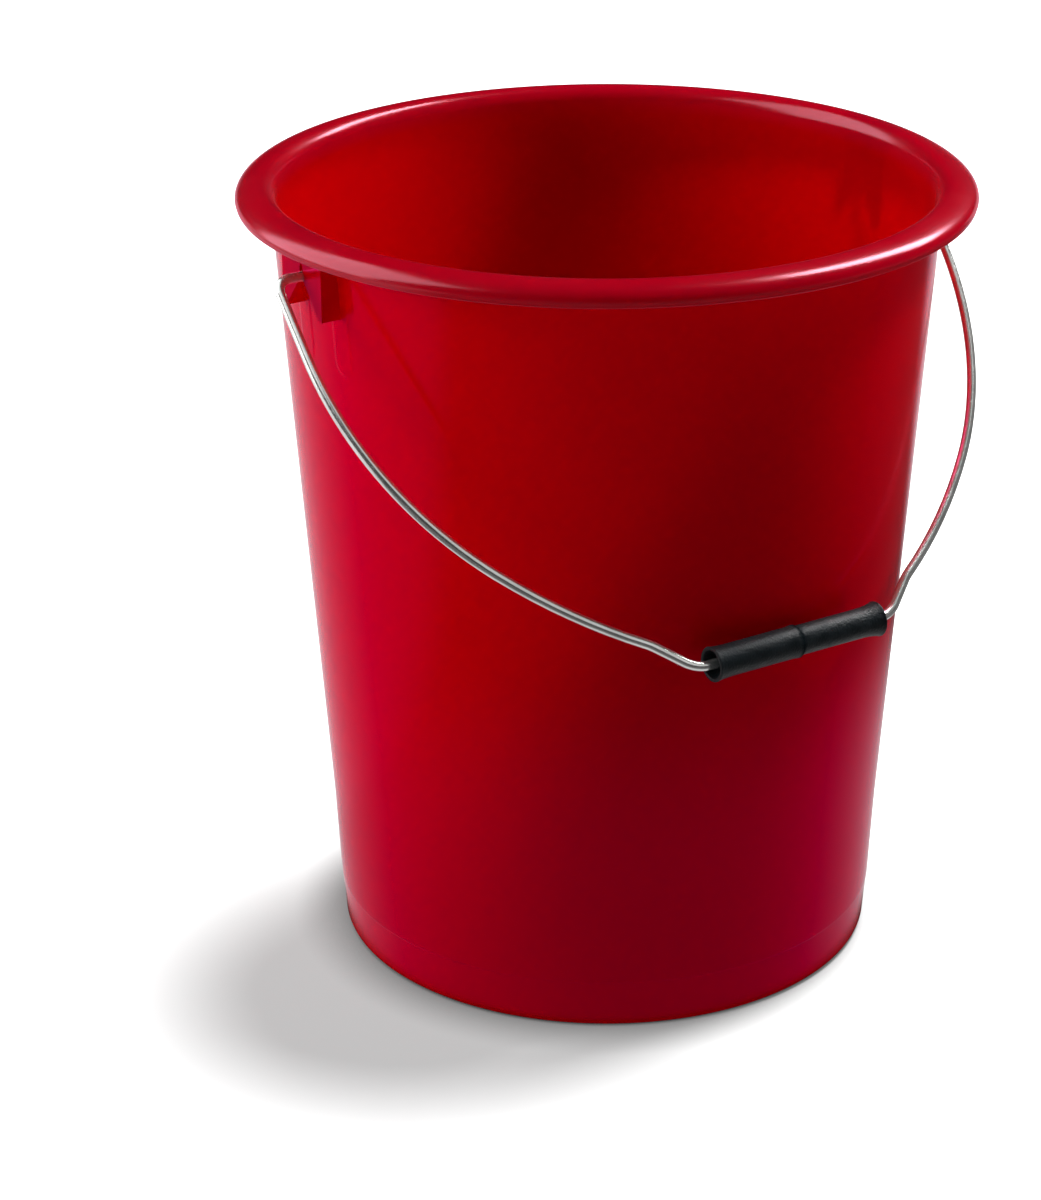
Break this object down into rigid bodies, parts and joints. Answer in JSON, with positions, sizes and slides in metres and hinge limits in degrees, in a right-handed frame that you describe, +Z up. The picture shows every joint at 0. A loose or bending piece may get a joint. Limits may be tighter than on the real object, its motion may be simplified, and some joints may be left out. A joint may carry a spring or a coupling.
{
  "type": "bucket",
  "caption": "Tapered wash bucket with a rolled rim, moulded keyhole ears, a steel wire bail that swings over the top and a tubular plastic grip that turns on it.",
  "frame": {"origin": "centre of the foot ring's bottom plane", "axes": "+Z up through the rim; the ears' pivot axis runs along X; the bail hangs down on the -Y side at rest"},
  "size_m": [0.311, 0.2998, 0.33],
  "materials": {
    "red_plastic": "glossy, slightly translucent moulded polypropylene",
    "bright_wire": "bright zinc-plated drawn steel wire",
    "black_plastic": "fine-grained moulded polyethylene"
  },
  "bodies": {
    "bucket": {"bucket_body": "red_plastic"},
    "bail": {"bail_wire": "bright_wire"},
    "grip": {"grip_plug_half": "black_plastic", "grip_socket_half": "black_plastic"}
  },
  "joints": [
    {"name": "bail_swing", "type": "hinge", "parent": "bucket", "child": "bail", "pos_m": [0, 0, 0.312], "axis": [-1, 0, 0], "range_deg": [0, 273]},
    {"name": "grip_spin", "type": "hinge", "parent": "bail", "child": "grip", "pos_m": [0, -0.13285, 0.172], "axis": [1, 0, 0], "continuous": true}
  ]
}
